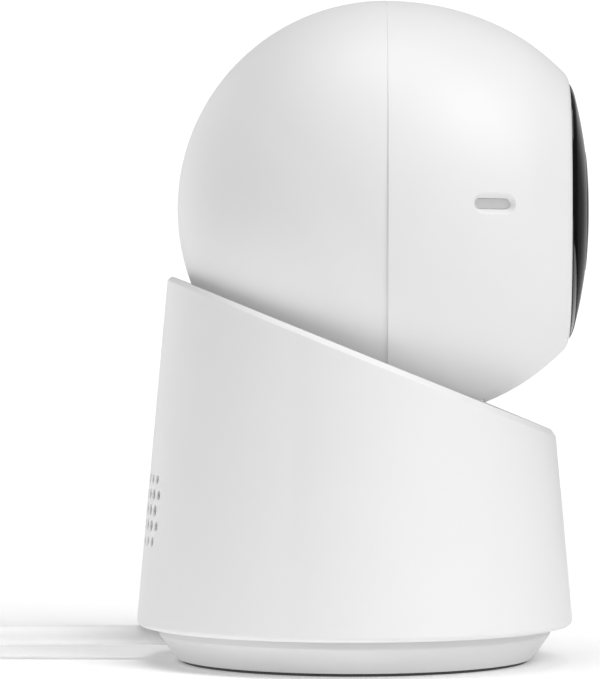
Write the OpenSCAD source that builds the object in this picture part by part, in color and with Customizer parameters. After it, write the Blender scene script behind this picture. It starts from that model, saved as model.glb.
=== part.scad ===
// Indoor pan and tilt security camera: a round head that tilts in a slanted, turning body, on a low foot.
// Millimetres. +X is the way the camera looks, +Z is up. The origin is on the turning axis, at table height.

/* [Body] */
// Radius of the body's lower edge
base_r = 37.9; // [37:0.1:39]
// Lean of the body's wall towards its axis, in degrees
base_lean = 5.13; // [4.6:0.01:5.4]
// Height of the body's lower edge above the table
skirt_z = 6.2; // [6.2:0.1:6.6]
// Height of the slanted rim where it crosses the axis
rim_z = 53.8; // [53:0.1:54.4]
// Slope of the rim, in degrees
rim_slope = 22; // [21:0.5:23]
// Thickness of the moulded walls of the body
wall = 2.2; // [2:0.1:2.4]

/* [Head] */
// How far the head's centre stands in front of the turning axis
head_x = 5.5; // [5:0.1:6]
// Height of the head's centre
head_z = 78.4; // [78:0.1:79]
// Radius of the round rear shell
head_r = 36.3; // [36:0.1:36.5]
// Radius of the front shell at the seam
front_r = 36.5; // [36.2:0.1:36.6]
// Half length of the ellipse that the front shell follows
front_len = 41.4; // [41:0.1:41.8]
// Thickness of the head's shells
head_wall = 2; // [1.8:0.1:2.1]
// Distance from the head's centre to the end of the straight ellipse, where the lip starts to round
lip_start = 31; // [30.6:0.1:31.2]
// Radius of the rounded lip around the face
lip_r = 2.6; // [2.4:0.1:2.8]

/* [Face] */
// Distance from the head's centre to the highest point of the domed face
dome_apex = 35.1; // [34.9:0.1:35.3]
// Radius of curvature of the domed face
dome_r = 72; // [68:1:78]
// Radius of the round window over the lens
window_r = 10; // [9.6:0.1:10.4]

/* [Foot] */
// Radius of the foot at the table
foot_low_r = 30.6; // [30:0.1:31]
// Radius of the foot under the body
foot_top_r = 33.4; // [33:0.1:33.8]
// Radius of the threaded hole for a stand, at the thread's crests
thread_r = 2.6; // [2.5:0.05:2.7]
// Depth of the threaded hole
thread_depth = 6; // [5.5:0.1:6]

/* [Motion] */
// Turn of the body each way from straight ahead, in degrees
pan_reach = 175; // [150:5:175]
// How far the head tilts up, in degrees
tilt_up = 60; // [40:5:60]
// How far the head tilts down, in degrees
tilt_down = 20; // [10:5:20]
// Travel of the side button
button_travel = 0.5; // [0.3:0.1:0.5]

/* [Cable] */
// Diameter of the power cable
cable_d = 3.4; // [3.2:0.1:3.4]

/* [Hidden] */
$fn = 96;
gap = 0.05;          // running and assembly clearance on a radius
far = 200;           // longer than the whole object, for cutting half spaces

// Foot, from the table up
pad_h = 0.5;
cover_top = 1.8;
foot_bore_r = 28.4;
deck_z = 6.6;        // underside of the foot's top
foot_top_z = 8;
spindle_r = 8;
spindle_bore_r = 5.5;
spindle_top = 16.2;
gear_top = 11;
washer_top = 11.8;
chassis_top = 14.2;
clip_z = 14.5;
clip_h = 0.8;
screw_ring_r = 17;
foot_screws = [0, 120, 240];
stop_r0 = 28.2;
stop_r1 = 31.2;
stop_half_angle = (180 - pan_reach) / 2 - 0.4;

// Body
function cone_r(z) = base_r - (z - skirt_z) * tan(base_lean);
chassis_r = cone_r(chassis_top) - wall - 0.1;
boss_ring_r = 32.6;
boss_screws = [45, 135, 225, 315];
dish_r = 40.3;       // clears the head's front edge all through its tilt
dish_wall = 1.6;
shelf_drop = 2.2;    // how deep the dish's flat shelf lies under the rim
grille_z = 26.5;
grille_pitch = 2.65;
grille_step = 4.73;  // degrees between neighbouring holes of a row
grille_hole_r = 0.92;
grille_edge_r = 0.76; // the holes round the grille's edge are smaller
board_z = 29;

// Gears: two fixed ones, and the pinions of the two motors
gear_teeth = 40;
pinion_teeth = 12;
pan_module = 0.8;
tilt_module = 0.5;

// Turning drive
tooth_gap = 0.1;     // added to the centre distance so that the teeth run freely
pan_distance = pan_module * (gear_teeth + pinion_teeth) / 2 + tooth_gap;
pan_motor_r = 10;
pan_motor_h = 10;

// Yoke and tilting drive, from the head's centre
stem_x = 4;          // half the stem's thickness
stem_y = 6;          // half the stem's width
arm_in = 14.8;
arm_out = 17.3;
bar_top = -25.4;
bar_bottom = -28.4;
axle_r = 1.5;
bush_r = 2.6;
tilt_distance = tilt_module * (gear_teeth + pinion_teeth) / 2 + tooth_gap;
tilt_motor_angle = 135;
slot_y = stem_y + 1;
shield_in_r = 32.2;
shield_out_r = 33;
shield_front = -60;
shield_rear = -178;
slot_margin = asin(stem_x / (head_r - head_wall)) + 1.5;
slot_start = -90 - tilt_up - slot_margin;
slot_span = tilt_up + tilt_down + 2 * slot_margin;

// Front shell's outline, as radius against distance in front of the head's centre
function front_radius(x, a, b) = b * sqrt(1 - pow(x / a, 2));
lip_slope = atan(front_r * front_r / (front_len * front_len) * lip_start
                 / front_radius(lip_start, front_len, front_r));
lip_x = lip_start - lip_r * sin(lip_slope);
face_r = front_radius(lip_start, front_len, front_r) - lip_r * cos(lip_slope);
face_x = lip_x + lip_r;
ledge_x = face_x - 2.4;
ledge_r = face_r - 1.8;
cover_r = face_r - 0.15;

// Angles round the forward axis of the screws that hold the head's frame to its shells
front_screws = [42, 138, -35, -145];
rear_screws = [15, 62, 118, 165];
screw_r_from_axis = 28;

// Lens, from the head's centre
frame_x = 11.5;
frame_t = 2;
sensor_x = 15.5;
holder_x = 16.7;
holder_end = 23.7;
slider_x = 17.9;
ir_board_x = 26;
ir_board_t = 1.2;

// Side button, on the front shell's near side
button_x = 17.6;
button_z = 0;
button_y = -front_r * sqrt(1 - pow(button_x / front_len, 2) - pow(button_z / front_r, 2));
button_turn = atan((button_x / pow(front_len, 2)) / (-button_y / pow(front_r, 2)));
button_l = 6.2;
button_w = 1.4;

// Cable: where it runs before the coil and from the coil to its plug
cable_z = 4.2;
grommet_end = -35.2;
coil_rows = 4;       // turns beside each other in a layer
coil_layers = 4;
coil_at = [-104, 25.2];
coil_in_r = 13.3;
coil_out_r = coil_in_r + coil_rows * cable_d;
coil_h = coil_layers * cable_d;
lead_route = [
    [-35.2, 0, 4.2], [-42, 0, 4.2], [-50, 0, 4.2], [-58, 0, 4.2],
    [-66, 0, 4.1], [-74, 0, 3.3], [-82, 0, 2.2], [-92, 0, 1.7],
];
tail_route = [
    [-129.2, 25.2, 11.9], [-128.4, 32, 12.6], [-125, 38, 14.4],
    [-119, 41.6, 16.2], [-112, 42.4, 17.1],
];
plug_at = [-112, 42.4, 17.1];

// ---- shared shapes ----

module at_head() { translate([head_x, 0, head_z]) children(); }

// Turns a shape built up the Z axis so that it points forwards
module forwards() { rotate([0, 90, 0]) children(); }

// Turns a shape built up the Z axis so that it points along +Y
module sideways() { rotate([-90, 0, 0]) children(); }

module ring(r_out, r_in, h) {
    difference() {
        cylinder(r = r_out, h = h);
        translate([0, 0, -1]) cylinder(r = r_in, h = h + 2);
    }
}

module block(low, high) { translate(low) cube(high - low); }

// Copies its children round the turning axis, at a radius and a height
module around(angles, r, z = 0) { for (a = angles) rotate(a) translate([r, 0, z]) children(); }

// Copies its children along +X round the head's forward axis, where the head's screws are
module on_screws(angles, x) {
    for (a = angles) translate([x, screw_r_from_axis * cos(a), screw_r_from_axis * sin(a)])
        forwards() children();
}

// A bar with round ends, its middle at the origin
module stadium(length, width, h) {
    half = (length - width) / 2;
    for (s = [-1, 1]) translate([s * half, 0, 0]) cylinder(d = width, h = h, $fn = 48);
    translate([-half, -width / 2, 0]) cube([2 * half, width, h]);
}

// A screw that points up, its head's outer face at the origin
module screw(head_r, head_h, shank_r, length) {
    difference() {
        union() {
            cylinder(r = head_r, h = head_h, $fn = 32);
            cylinder(r = shank_r, h = length, $fn = 24);
        }
        translate([0, 0, -1]) cylinder(r = head_r * 0.4, h = 1 + head_h * 0.5, $fn = 6);
    }
}

// The stop on the foot, and the one on the turning chassis that meets it at each end of the turn
module stop_block(h) {
    rotate_extrude(angle = 2 * stop_half_angle) translate([stop_r0, 0]) square([stop_r1 - stop_r0, h]);
}

// The half space under the slanted rim, lowered by drop
module below_rim(drop) {
    translate([0, 0, rim_z - drop / cos(rim_slope)]) rotate([0, rim_slope, 0])
        translate([-far, -far, -far]) cube([2 * far, 2 * far, far]);
}

// The body's solid cone, its surface moved inwards by inset
module body_cone(inset, z0, z1) {
    translate([0, 0, z0])
        cylinder(r1 = cone_r(z0) - inset, r2 = cone_r(z1) - inset, h = z1 - z0, $fn = 160);
}

// A spur gear's outline: straight-sided teeth, one of them centred on +X
function gear_outline(teeth, m) =
    let (r = teeth * m / 2, tip = r + 0.8 * m, root = r - 1.1 * m, step = 360 / teeth)
    [for (k = [0 : teeth - 1]) for (p = [[root, -0.28], [tip, -0.1], [tip, 0.1], [root, 0.28]])
        p[0] * [cos((k + p[1]) * step), sin((k + p[1]) * step)]];

module gear(teeth, m, h, bore_r) {
    difference() {
        linear_extrude(h) polygon(gear_outline(teeth, m));
        translate([0, 0, -1]) cylinder(r = bore_r, h = h + 2, $fn = 48);
    }
}

// The front shell's ellipse from the seam to where its lip starts, as [radius, distance]
function ellipse_points(a, b, x1, steps) =
    let (last = asin(x1 / a))
    [for (k = [0 : steps]) [b * cos(last * k / steps), a * sin(last * k / steps)]];

// Points along a smooth curve through a route
function between(p, i, t) =
    let (a = p[max(i - 1, 0)], b = p[i], c = p[i + 1], d = p[min(i + 2, len(p) - 1)])
    0.5 * (2 * b + (c - a) * t + (2 * a - 5 * b + 4 * c - d) * t * t + (3 * b - a - 3 * c + d) * t * t * t);
function smooth(p, n) =
    [for (i = [0 : len(p) - 2]) for (k = [0 : n - 1]) between(p, i, k / n), p[len(p) - 1]];
function unit(v) = v / norm(v);

// A tube of eight sides swept along points that never run straight up
module tube_along(p, r) {
    sides = 8;
    last = len(p) - 1;
    rings = [for (i = [0 : last])
        let (t = unit(p[min(i + 1, last)] - p[max(i - 1, 0)]))
        let (s = unit(cross([0, 0, 1], t)), u = cross(t, s))
        for (k = [0 : sides - 1]) p[i] + r * (cos(360 * k / sides) * s + sin(360 * k / sides) * u)];
    faces = concat(
        [for (i = [0 : last - 1]) for (k = [0 : sides - 1])
            let (j = (k + 1) % sides)
            [i * sides + k, (i + 1) * sides + k, (i + 1) * sides + j, i * sides + j]],
        [[for (k = [0 : sides - 1]) k]],
        [[for (k = [sides - 1 : -1 : 0]) last * sides + k]]);
    polyhedron(points = rings, faces = faces);
}

// ---- foot ----

module foot_shell() {
    color("whitesmoke") difference() {
        union() {
            translate([0, 0, pad_h]) cylinder(r1 = foot_low_r, r2 = foot_top_r, h = 4.5 - pad_h, $fn = 160);
            translate([0, 0, 4.5]) cylinder(r = foot_top_r, h = foot_top_z - 4.5, $fn = 160);
            translate([0, 0, deck_z]) cylinder(r = spindle_r, h = spindle_top - deck_z);
            rotate([0, 0, 180 - stop_half_angle]) translate([0, 0, foot_top_z - 0.5])
                stop_block(2.9);
        }
        difference() {
            translate([0, 0, -1]) cylinder(r = foot_bore_r, h = deck_z + 1);
            around(foot_screws, screw_ring_r, cover_top) cylinder(r = 2.6, h = 10);
        }
        around(foot_screws, screw_ring_r) cylinder(r = 1 + gap, h = 6.2, $fn = 24);
        translate([0, 0, -1]) cylinder(r = spindle_bore_r, h = spindle_top + 2);
        translate([0, 0, clip_z]) ring(spindle_r + 1, spindle_r - 0.8, clip_h);
        translate([-foot_bore_r + 1, 0, cable_z]) rotate([0, -90, 0]) cylinder(r = 2.35, h = 10, $fn = 48);
    }
}

module bottom_cover() {
    color("gainsboro") difference() {
        union() {
            translate([0, 0, pad_h]) cylinder(r = foot_bore_r - 0.2, h = cover_top - pad_h);
            cylinder(r = 7.5, h = thread_depth);
        }
        translate([0, 0, -1]) cylinder(r = 5.4 + gap, h = 1.6);
        translate([0, 0, -1]) cylinder(r = 4.2 + gap, h = 10);
        around(foot_screws, screw_ring_r) {
            cylinder(r = 1 + gap, h = 3, $fn = 24);
            cylinder(r = 2.1, h = 1.4, $fn = 32);
        }
    }
}

module anti_slip_ring() { color("dimgray") ring(foot_low_r - 0.5, 22, pad_h); }

module ballast_ring() {
    color("slategray") translate([0, 0, 2]) difference() {
        ring(28, 19.9, 3.4);
        block([-far, -8, -1], [-10, 8, 5]);
    }
}

module tripod_insert() {
    color("goldenrod") difference() {
        union() {
            cylinder(r = 5.4, h = 0.6);
            cylinder(r = 4.2, h = thread_depth);
        }
        translate([0, 0, -1]) cylinder(r = thread_r, h = thread_depth + 2);
    }
}

module bottom_screws() {
    color("silver") around(foot_screws, screw_ring_r, 0.6) screw(2, 0.8, 1, 5);
}

module pan_gear() {
    color("ivory") translate([0, 0, foot_top_z])
        gear(gear_teeth, pan_module, gear_top - foot_top_z, spindle_r + gap);
}

module thrust_washer() {
    color("white") translate([0, 0, gear_top]) ring(13, spindle_r + gap, washer_top - gear_top);
}

module spindle_clip() {
    color("silver") translate([0, 0, clip_z + 0.1]) difference() {
        ring(9.8, spindle_r - 0.7, clip_h - 0.2);
        block([0, -3, -1], [far, 3, 2]);
    }
}

module power_board() {
    color("seagreen") translate([0, 0, 2.6]) {
        block([-26, -6.5, 0], [-11, 6.5, 1]);
        block([-25, -4.5, 1], [-20, 4.5, 3.4]);
        translate([-15, 2.5, 1]) cylinder(r = 2, h = 2.6, $fn = 32);
        block([-18, -5.5, 1], [-14, -2.5, 2.4]);
    }
}

module cable_grommet() {
    color("whitesmoke") translate([grommet_end, 0, cable_z]) forwards() {
        cylinder(r1 = 1.8, r2 = 2.3, h = 1.8, $fn = 48);
        translate([0, 0, 1.8]) cylinder(r = 2.3, h = 5.6, $fn = 48);
        block([-2.1, -3.4, 7.1], [2.1, 3.4, 8.1]);
    }
}

// ---- cable ----

module power_cable() { color("whitesmoke") tube_along(smooth(lead_route, 2), cable_d / 2); }

module cable_coil() {
    corner = cable_d / 2;
    color("whitesmoke") translate([coil_at[0], coil_at[1], 0]) rotate_extrude()
    translate([coil_in_r, 0]) {
        translate([corner, 0]) square([coil_out_r - coil_in_r - 2 * corner, coil_h]);
        translate([0, corner]) square([coil_out_r - coil_in_r, coil_h - 2 * corner]);
        for (x = [corner, coil_out_r - coil_in_r - corner], z = [corner, coil_h - corner])
            translate([x, z]) circle(r = corner, $fn = 32);
    }
}

// A strap round the coil's turns
module cable_tie() {
    strap = 0.6;
    middle = (coil_in_r + coil_out_r) / 2;
    half = (coil_out_r - coil_in_r) / 2 + strap;
    color("lightgray") translate([coil_at[0], coil_at[1], 0]) rotate(-135) translate([middle, 0, 0])
    difference() {
        block([-half, -4, 0], [half, 4, coil_h + strap]);
        block([strap - half, -5, strap], [half - strap, 5, coil_h]);
    }
}

module cable_tail() { color("whitesmoke") tube_along(smooth(tail_route, 2), cable_d / 2); }

module plug_cover() {
    color("whitesmoke") translate(plug_at) {
        forwards() cylinder(r1 = 1.9, r2 = 2.9, h = 8, $fn = 32);
        block([8, -6.2, -3.5], [27, 6.2, 3.5]);
    }
}

module plug_shell() {
    color("silver") translate(plug_at) difference() {
        block([27, -6, -2.25], [39, 6, 2.25]);
        block([28, -5.6, 0], [40, 5.6, 1.85]);
    }
}

// ---- turning drive ----

module pan_pinion() {
    color("ivory") translate([0, pan_distance, 8.6]) rotate(-90 + 180 / pinion_teeth)
        gear(pinion_teeth, pan_module, 2.6, 1);
}

module pan_motor_shaft() {
    color("silver") translate([0, pan_distance, 8.6]) cylinder(r = 1, h = 12, $fn = 32);
}

module pan_motor() {
    color("lightsteelblue") translate([0, pan_distance, chassis_top]) difference() {
        union() {
            cylinder(r = pan_motor_r, h = pan_motor_h);
            stadium(31, 6, 1);
            translate([-4, 0, 1]) block([0, 0, 0], [8, pan_motor_r + 1.5, 6]);
        }
        translate([0, 0, -1]) cylinder(r = 1 + gap, h = 8, $fn = 32);
        for (s = [-1, 1]) translate([s * 12.7, 0, -1]) cylinder(r = 1.4, h = 3, $fn = 32);
    }
}

// ---- turning body ----

module body_shell() {
    color("whitesmoke") difference() {
        union() {
            difference() {
                body_cone(0, skirt_z, 75);
                body_cone(wall, skirt_z - 1, 76);
            }
            intersection() {
                around(boss_screws, boss_ring_r, chassis_top) cylinder(r = 2.8, h = 12);
                body_cone(1, chassis_top, 30);
            }
        }
        translate([0, 0, rim_z]) rotate([0, rim_slope, 0])
            translate([-far / 2, -far / 2, 0]) cube([far, far, far]);
        around(boss_screws, boss_ring_r, 10) cylinder(r = 1.1 + gap, h = 14, $fn = 24);
        for (row = [-2 : 2], k = [-4 : 5]) {
            place = k - (row % 2 == 0 ? 0 : 0.5);
            hole_r = abs(row) == 2 || abs(place) > 4 ? grille_edge_r : grille_hole_r;
            if (place < 4.6) rotate(180 + place * grille_step)
                translate([cone_r(grille_z) - wall - 3, 0, grille_z + row * grille_pitch])
                    forwards() cylinder(r = hole_r, h = 8, $fn = 24);
        }
    }
}

module pan_chassis() {
    color("dimgray") difference() {
        union() {
            translate([0, 0, washer_top]) cylinder(r = chassis_r, h = chassis_top - washer_top);
            rotate(-stop_half_angle) translate([0, 0, 9.2])
                stop_block(3);
            for (x = [-17, 20], y = [-17, 17]) translate([x, y, washer_top + 1])
                cylinder(r = 2, h = board_z - washer_top - 1, $fn = 32);
        }
        translate([0, 0, 5]) cylinder(r = spindle_r + gap, h = 12);
        translate([0, pan_distance, 5]) cylinder(r = 2.5, h = 12, $fn = 48);
        for (s = [-1, 1]) translate([s * 12.7, pan_distance, 5]) cylinder(r = 1.1, h = 12, $fn = 32);
        around(boss_screws, boss_ring_r, 5) {
            cylinder(r = 1.1 + gap, h = 12, $fn = 24);
            cylinder(r = 2.1, h = washer_top + 1.2 - 5, $fn = 32);
        }
        for (x = [-13, 16], y = [-5, 5]) translate([x, y, 5]) cylinder(r = 0.9, h = 12, $fn = 24);
    }
}

module chassis_screws() {
    color("silver") {
        around(boss_screws, boss_ring_r, washer_top + 0.1) screw(2, 1, 1.1, 9);
        for (s = [-1, 1]) translate([s * 12.7, pan_distance, chassis_top + 1.9]) mirror([0, 0, 1])
            screw(2, 0.9, 1, 3.8);
    }
}

// A cup round the head's path that closes the body under the rim, with a flat shelf in front
module dish_cover() {
    color("white") difference() {
        intersection() {
            body_cone(wall + 0.1, 20, 72);
            below_rim(shelf_drop);
            union() {
                at_head() sphere(r = dish_r + dish_wall, $fn = 128);
                difference() {
                    below_rim(shelf_drop);
                    below_rim(shelf_drop + dish_wall);
                }
            }
        }
        at_head() sphere(r = dish_r, $fn = 128);
        block([head_x - stem_x - 1, -slot_y, 30], [head_x + stem_x + 1, slot_y, 45]);
    }
}

module speaker() {
    color("darkslategray") translate([-30.6, 0, grille_z]) forwards() {
        cylinder(r = 10.5, h = 1.6);
        translate([0, 0, 1.6]) cylinder(r1 = 10.5, r2 = 7.5, h = 2.4);
        translate([0, 0, 4]) cylinder(r = 6.5, h = 2.6);
    }
}

module grille_cloth() {
    color("gray") intersection() {
        difference() {
            body_cone(wall + 0.05, 17, 35);
            body_cone(wall + 0.4, 16, 36);
        }
        block([-far, -15, 18], [-20, 15, 35]);
    }
}

module main_board() {
    color("seagreen") difference() {
        union() {
            block([-21, -20, board_z], [25, 20, board_z + 1.4]);
            block([-15, -12, board_z + 1.4], [-3, 0, board_z + 3]);
            block([-15, 4, board_z + 1.4], [-6, 13, board_z + 2.6]);
            block([13, -15, board_z + 1.4], [23, -7, board_z + 3.4]);
            block([13, 8, board_z + 1.4], [20, 16, board_z + 2.6]);
        }
        block([head_x - stem_x - 1.5, -slot_y - 0.5, 20],
              [head_x + stem_x + 1.5, slot_y + 0.5, 40]);
    }
}

module yoke() {
    color("dimgray") difference() {
        union() {
            block([-16, -8, 17], [19, 8, 19.5]);
            block([-16, -8, chassis_top], [-11, 8, 18]);
            block([13, -8, chassis_top], [19, 8, 18]);
            block([head_x - stem_x, -stem_y, 19], [head_x + stem_x, stem_y, head_z + bar_top]);
            at_head() block([-stem_x, -arm_out, bar_bottom], [stem_x, arm_out, bar_top]);
            at_head() for (s = [-1, 1]) {
                y = s > 0 ? arm_in : -arm_out;
                block([-stem_x, y, bar_bottom], [stem_x, y + arm_out - arm_in, 0]);
                translate([0, y, 0]) sideways() cylinder(r = 5.5, h = arm_out - arm_in);
            }
        }
        at_head() translate([0, -far / 2, 0]) sideways() cylinder(r = bush_r + gap / 2, h = far, $fn = 48);
        translate([-5, 0, 10]) cylinder(r = 4, h = 20, $fn = 48);
        for (x = [-13, 16], y = [-5, 5]) translate([x, y, 10]) cylinder(r = 1 + gap, h = 12, $fn = 24);
    }
}

module yoke_screws() {
    color("silver") for (x = [-13, 16], y = [-5, 5]) translate([x, y, 20.5]) mirror([0, 0, 1])
        screw(1.9, 1, 0.85, 8.2);
}

// A curved strip behind the stem's slot, which keeps it closed while the head stands level
module slot_shield() {
    color("dimgray") at_head() difference() {
        union() {
            rotate([90, 0, 0]) rotate(shield_rear) rotate_extrude(angle = shield_front - shield_rear)
                translate([shield_in_r, -slot_y - 1]) square([shield_out_r - shield_in_r, 2 * slot_y + 2]);
            for (y = [-slot_y - 1, stem_y + gap])
                block([-3, y, -0.4 - shield_in_r], [3, y + 1.9, bar_bottom]);
        }
        block([-stem_x - gap, -stem_y - gap, -40], [stem_x + gap, stem_y + gap, -20]);
    }
}

module tilt_gear() {
    color("ivory") at_head() translate([0, arm_out, 0]) sideways() rotate(-tilt_motor_angle)
        gear(gear_teeth, tilt_module, 2.7, 2);
}

module tilt_bushes() {
    color("goldenrod") at_head() for (s = [0, 1]) mirror([0, s, 0])
        translate([0, arm_in - 0.8, 0]) sideways() difference() {
            union() {
                cylinder(r = 3.8, h = 0.8, $fn = 48);
                cylinder(r = bush_r, h = arm_out - arm_in + 0.8, $fn = 48);
            }
            translate([0, 0, -1]) cylinder(r = axle_r + gap, h = 9, $fn = 48);
        }
}

// ---- tilting drive ----

module at_tilt_motor() {
    at_head() rotate([0, -tilt_motor_angle, 0]) translate([tilt_distance, 0, 0])
        rotate([0, tilt_motor_angle, 0]) children();
}

module tilt_pinion() {
    color("ivory") at_tilt_motor() translate([0, arm_out + 0.2, 0]) sideways()
        rotate(180 - tilt_motor_angle + 180 / pinion_teeth) gear(pinion_teeth, tilt_module, 2.3, 0.9);
}

module tilt_motor_shaft() {
    color("silver") at_tilt_motor() translate([0, 4, 0]) sideways()
        cylinder(r = 0.9, h = arm_out + 2.5 - 4, $fn = 32);
}

module tilt_motor() {
    color("lightsteelblue") at_tilt_motor() translate([0, 1, 0]) sideways() difference() {
        union() {
            cylinder(r = 10, h = 10);
            translate([0, 0, 9]) rotate(-tilt_motor_angle + 90) stadium(31, 6, 1);
        }
        translate([0, 0, 2]) cylinder(r = 0.9 + gap, h = 9, $fn = 32);
        for (s = [-1, 1]) rotate(-tilt_motor_angle + 90) translate([s * 12.7, 0, 8])
            cylinder(r = 1.1, h = 3, $fn = 24);
    }
}

// ---- head ----

// The opening in the head's underside that the stem passes through, over the whole tilt
module stem_slot() {
    rotate([90, 0, 0]) rotate(slot_start) rotate_extrude(angle = slot_span)
        translate([head_r - 5, -slot_y]) square([12, 2 * slot_y]);
}

module rear_shell() {
    color("whitesmoke") at_head() difference() {
        union() {
            difference() {
                sphere(r = head_r, $fn = 160);
                sphere(r = head_r - head_wall, $fn = 160);
            }
            intersection() {
                sphere(r = head_r - 0.5, $fn = 160);
                on_screws(rear_screws, -30) cylinder(r = 2.6, h = 30, $fn = 32);
            }
        }
        block([-0.1, -far, -far], [far, far, far]);
        on_screws(rear_screws, -7) cylinder(r = 1 + gap, h = 8, $fn = 24);
        stem_slot();
    }
}

module front_shell() {
    outer = ellipse_points(front_len, front_r, lip_start, 36);
    inner = ellipse_points(front_len - head_wall, front_r - head_wall, ledge_x - 1.5, 24);
    lip = [for (k = [1 : 6]) let (a = (90 - lip_slope) * (1 - k / 6))
        [face_r + lip_r * sin(a), lip_x + lip_r * cos(a)]];
    ledge = [[face_r, ledge_x], [ledge_r, ledge_x], [ledge_r, ledge_x - 1.5]];
    profile = concat(outer, lip, ledge, [for (k = [len(inner) - 1 : -1 : 0]) inner[k]]);
    boss_limit = concat(ellipse_points(front_len - 1, front_r - 1, ledge_x, 24), [[0, ledge_x], [0, 0]]);
    color("whitesmoke") at_head() difference() {
        union() {
            forwards() rotate_extrude($fn = 160) polygon(profile);
            intersection() {
                forwards() rotate_extrude($fn = 160) polygon(boss_limit);
                on_screws(front_screws, frame_x + frame_t) cylinder(r = 2.6, h = 16, $fn = 32);
            }
        }
        on_screws(front_screws, frame_x) cylinder(r = 1 + gap, h = 9, $fn = 24);
        stem_slot();
        translate([button_x, button_y, button_z]) rotate([90, 0, button_turn]) {
            translate([0, 0, -0.7]) stadium(7.6, 3, 4);
            translate([0, 0, -6]) stadium(button_l + 0.6, button_w + 0.6, 8);
        }
    }
}

// Points on a dome about the head's forward axis, as [radius, distance], from one radius to another
function dome_points(r, r0, r1, steps) =
    [for (k = [0 : steps]) let (q = r0 + (r1 - r0) * k / steps)
        [q, dome_apex - dome_r + sqrt(r * r - q * q)]];

// A domed black cover with a hole for the lens window
module face_cover() {
    color("black") at_head() forwards() rotate_extrude($fn = 160) polygon(concat(
        dome_points(dome_r, window_r, cover_r, 16),
        [[cover_r, ledge_x], [cover_r - 1.6, ledge_x]],
        dome_points(dome_r - 1.5, cover_r - 1.6, window_r, 8)));
}

module lens_window() {
    color("darkslategray") at_head() intersection() {
        translate([20, 0, 0]) forwards() cylinder(r = window_r - gap, h = 20);
        translate([dome_apex - dome_r, 0, 0]) difference() {
            sphere(r = dome_r + 0.2, $fn = 200);
            sphere(r = dome_r - 1.5, $fn = 200);
        }
    }
}

module lens_hood() {
    color("dimgray") at_head() translate([ir_board_x + ir_board_t + 0.1, 0, 0]) forwards() ring(9, 7.6, 5.4);
}

module lens_barrel() {
    color("black") at_head() forwards() difference() {
        union() {
            translate([0, 0, 19.9]) cylinder(r = 5.95, h = 8);
            translate([0, 0, 24.4]) cylinder(r = 7, h = 8);
        }
        translate([0, 0, 15]) cylinder(r = 4, h = 20);
        translate([0, 0, 30.2]) cylinder(r = 5.6, h = 5);
    }
}

module lens_front() {
    color("lightblue") at_head() intersection() {
        translate([30.2, 0, 0]) forwards() cylinder(r = 5.6 - gap, h = 5);
        translate([23.6, 0, 0]) sphere(r = 9.6);
    }
}

module lens_rear() {
    color("lightblue") at_head() translate([21, 0, 0]) forwards() cylinder(r = 4 - gap, h = 1.6, $fn = 48);
}

module lens_holder() {
    color("black") at_head() difference() {
        block([holder_x, -9, -8], [holder_end, 9, 8]);
        translate([holder_x + 2, 0, 0]) forwards() cylinder(r = 6, h = 10);
        translate([holder_x - 1, 0, 0]) forwards() cylinder(r = 3.5, h = 5, $fn = 48);
        block([slider_x - 0.3, -10, -4.2], [slider_x + 1.5, 10, 4.2]);
    }
}

module ir_cut_actuator() {
    color("peru") at_head() {
        block([holder_x + 0.4, -5, 8], [holder_end - 0.4, 5, 8.8]);
        translate([(holder_x + holder_end) / 2, -4, 10.6]) sideways() cylinder(r = 2, h = 8, $fn = 32);
    }
}

module ir_cut_slider() {
    color("lightgreen") at_head() block([slider_x, -8.5, -3.9], [slider_x + 1.2, 2.5, 3.9]);
}

// Copies its children along +X at the sensor board's four screws
module at_board_screws(x) { for (y = [-11, 11], z = [-8, 11]) translate([x, y, z]) forwards() children(); }

module sensor_board() {
    color("seagreen") at_head() difference() {
        block([sensor_x, -13, -11], [holder_x, 13, 13]);
        at_board_screws(sensor_x - 1) cylinder(r = 1 + gap, h = 4, $fn = 24);
    }
}

module ir_board() {
    color("seagreen") at_head() translate([ir_board_x, 0, 0]) forwards() ring(19.5, 9.4, ir_board_t);
}

module ir_leds() {
    color("lavender") at_head() for (a = [30 : 60 : 330]) rotate([a, 0, 0])
    translate([ir_board_x + ir_board_t, 0, 14.5]) {
        block([0, -1.75, -1.75], [1, 1.75, 1.75]);
        translate([1, 0, 0]) forwards() cylinder(r = 1.4, h = 0.8, $fn = 32);
    }
}

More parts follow.
